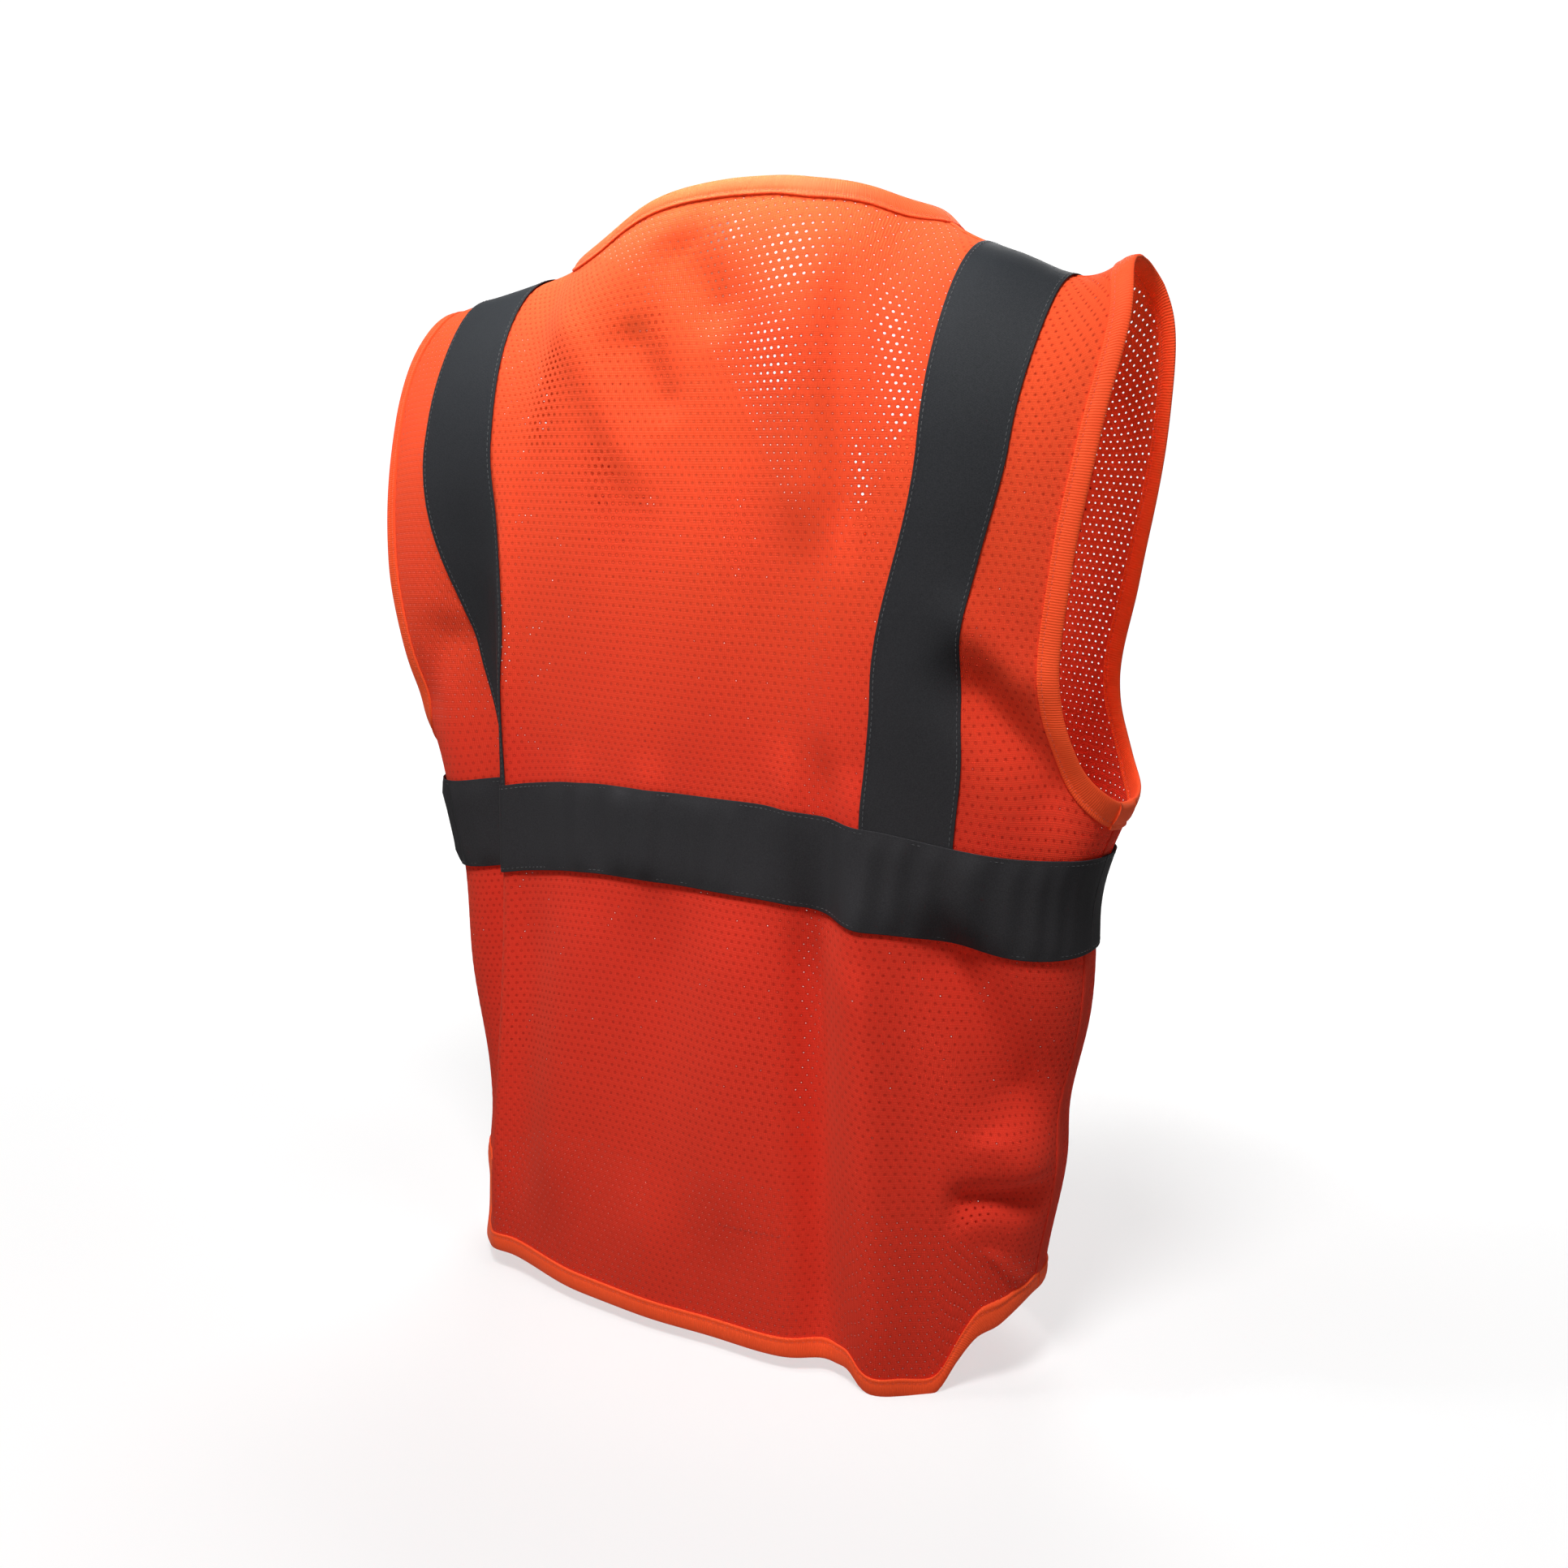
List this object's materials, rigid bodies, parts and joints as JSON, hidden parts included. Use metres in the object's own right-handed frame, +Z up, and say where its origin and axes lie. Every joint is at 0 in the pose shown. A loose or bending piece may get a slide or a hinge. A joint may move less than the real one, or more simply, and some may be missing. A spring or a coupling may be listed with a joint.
{
  "type": "high visibility vest",
  "caption": "Sleeveless orange mesh safety vest with dark reflective tape round the waist and over the shoulders, bound edges and an open front zip.",
  "frame": {"origin": "under the middle of the body, at the height of the lowest point of the back hem", "axes": "+Z up the body, the wearer faces -Y, the wearer's left is +X"},
  "size_m": [0.4488, 0.1657, 0.6148],
  "materials": {
    "orange_mesh": "knitted polyester mesh with small staggered holes",
    "orange_binding": "folded ribbed knit binding with a row of stitches",
    "reflective_tape": "dark grey retroreflective tape with a soft sheen, sewn along both edges",
    "label": "white satin weave, blank",
    "zip_tape": "woven polyester tape",
    "zip_plastic": "moulded acetal, satin",
    "zip_metal": "die-cast zinc with a dull nickel coat"
  },
  "bodies": {
    "root": {"back_panel": "orange_mesh", "left_front_side_panel": "orange_mesh", "right_front_side_panel": "orange_mesh", "neck_binding": "orange_binding", "left_armhole_binding": "orange_binding", "right_armhole_binding": "orange_binding", "back_hem_binding": "orange_binding", "back_waist_tape": "reflective_tape", "left_shoulder_tape": "reflective_tape", "right_shoulder_tape": "reflective_tape", "neck_label": "label"},
    "left_front": {"left_front_panel": "orange_mesh", "left_front_neck_binding": "orange_binding", "left_front_hem_binding": "orange_binding", "left_front_waist_tape": "reflective_tape", "left_zip_tape": "zip_tape", "left_zip_teeth": "zip_plastic", "left_zip_top_stop": "zip_metal", "zip_box": "zip_plastic"},
    "right_front": {"right_front_panel": "orange_mesh", "right_front_neck_binding": "orange_binding", "right_front_hem_binding": "orange_binding", "right_front_waist_tape": "reflective_tape", "right_zip_tape": "zip_tape", "right_zip_teeth": "zip_plastic", "right_zip_top_stop": "zip_metal", "zip_pin": "zip_plastic"},
    "slider": {"zip_slider": "zip_metal"},
    "pull": {"zip_pull": "zip_metal"}
  },
  "joints": [
    {"name": "left_front_fold", "type": "hinge", "parent": "root", "child": "left_front", "pos_m": [0.1, -0.078, 0.25], "axis": [0, 0, 1], "range_deg": [0, 150]},
    {"name": "right_front_fold", "type": "hinge", "parent": "root", "child": "right_front", "pos_m": [-0.1, -0.078, 0.25], "axis": [0, 0, -1], "range_deg": [0, 150]},
    {"name": "zip_slide", "type": "slide", "parent": "left_front", "child": "slider", "axis": [0, 0, 1], "range_m": [0, 0.374]},
    {"name": "pull_flip", "type": "hinge", "parent": "slider", "child": "pull", "pos_m": [0.0074, -0.08255, 0.0458], "axis": [-1, 0, 0], "range_deg": [0, 170]}
  ]
}
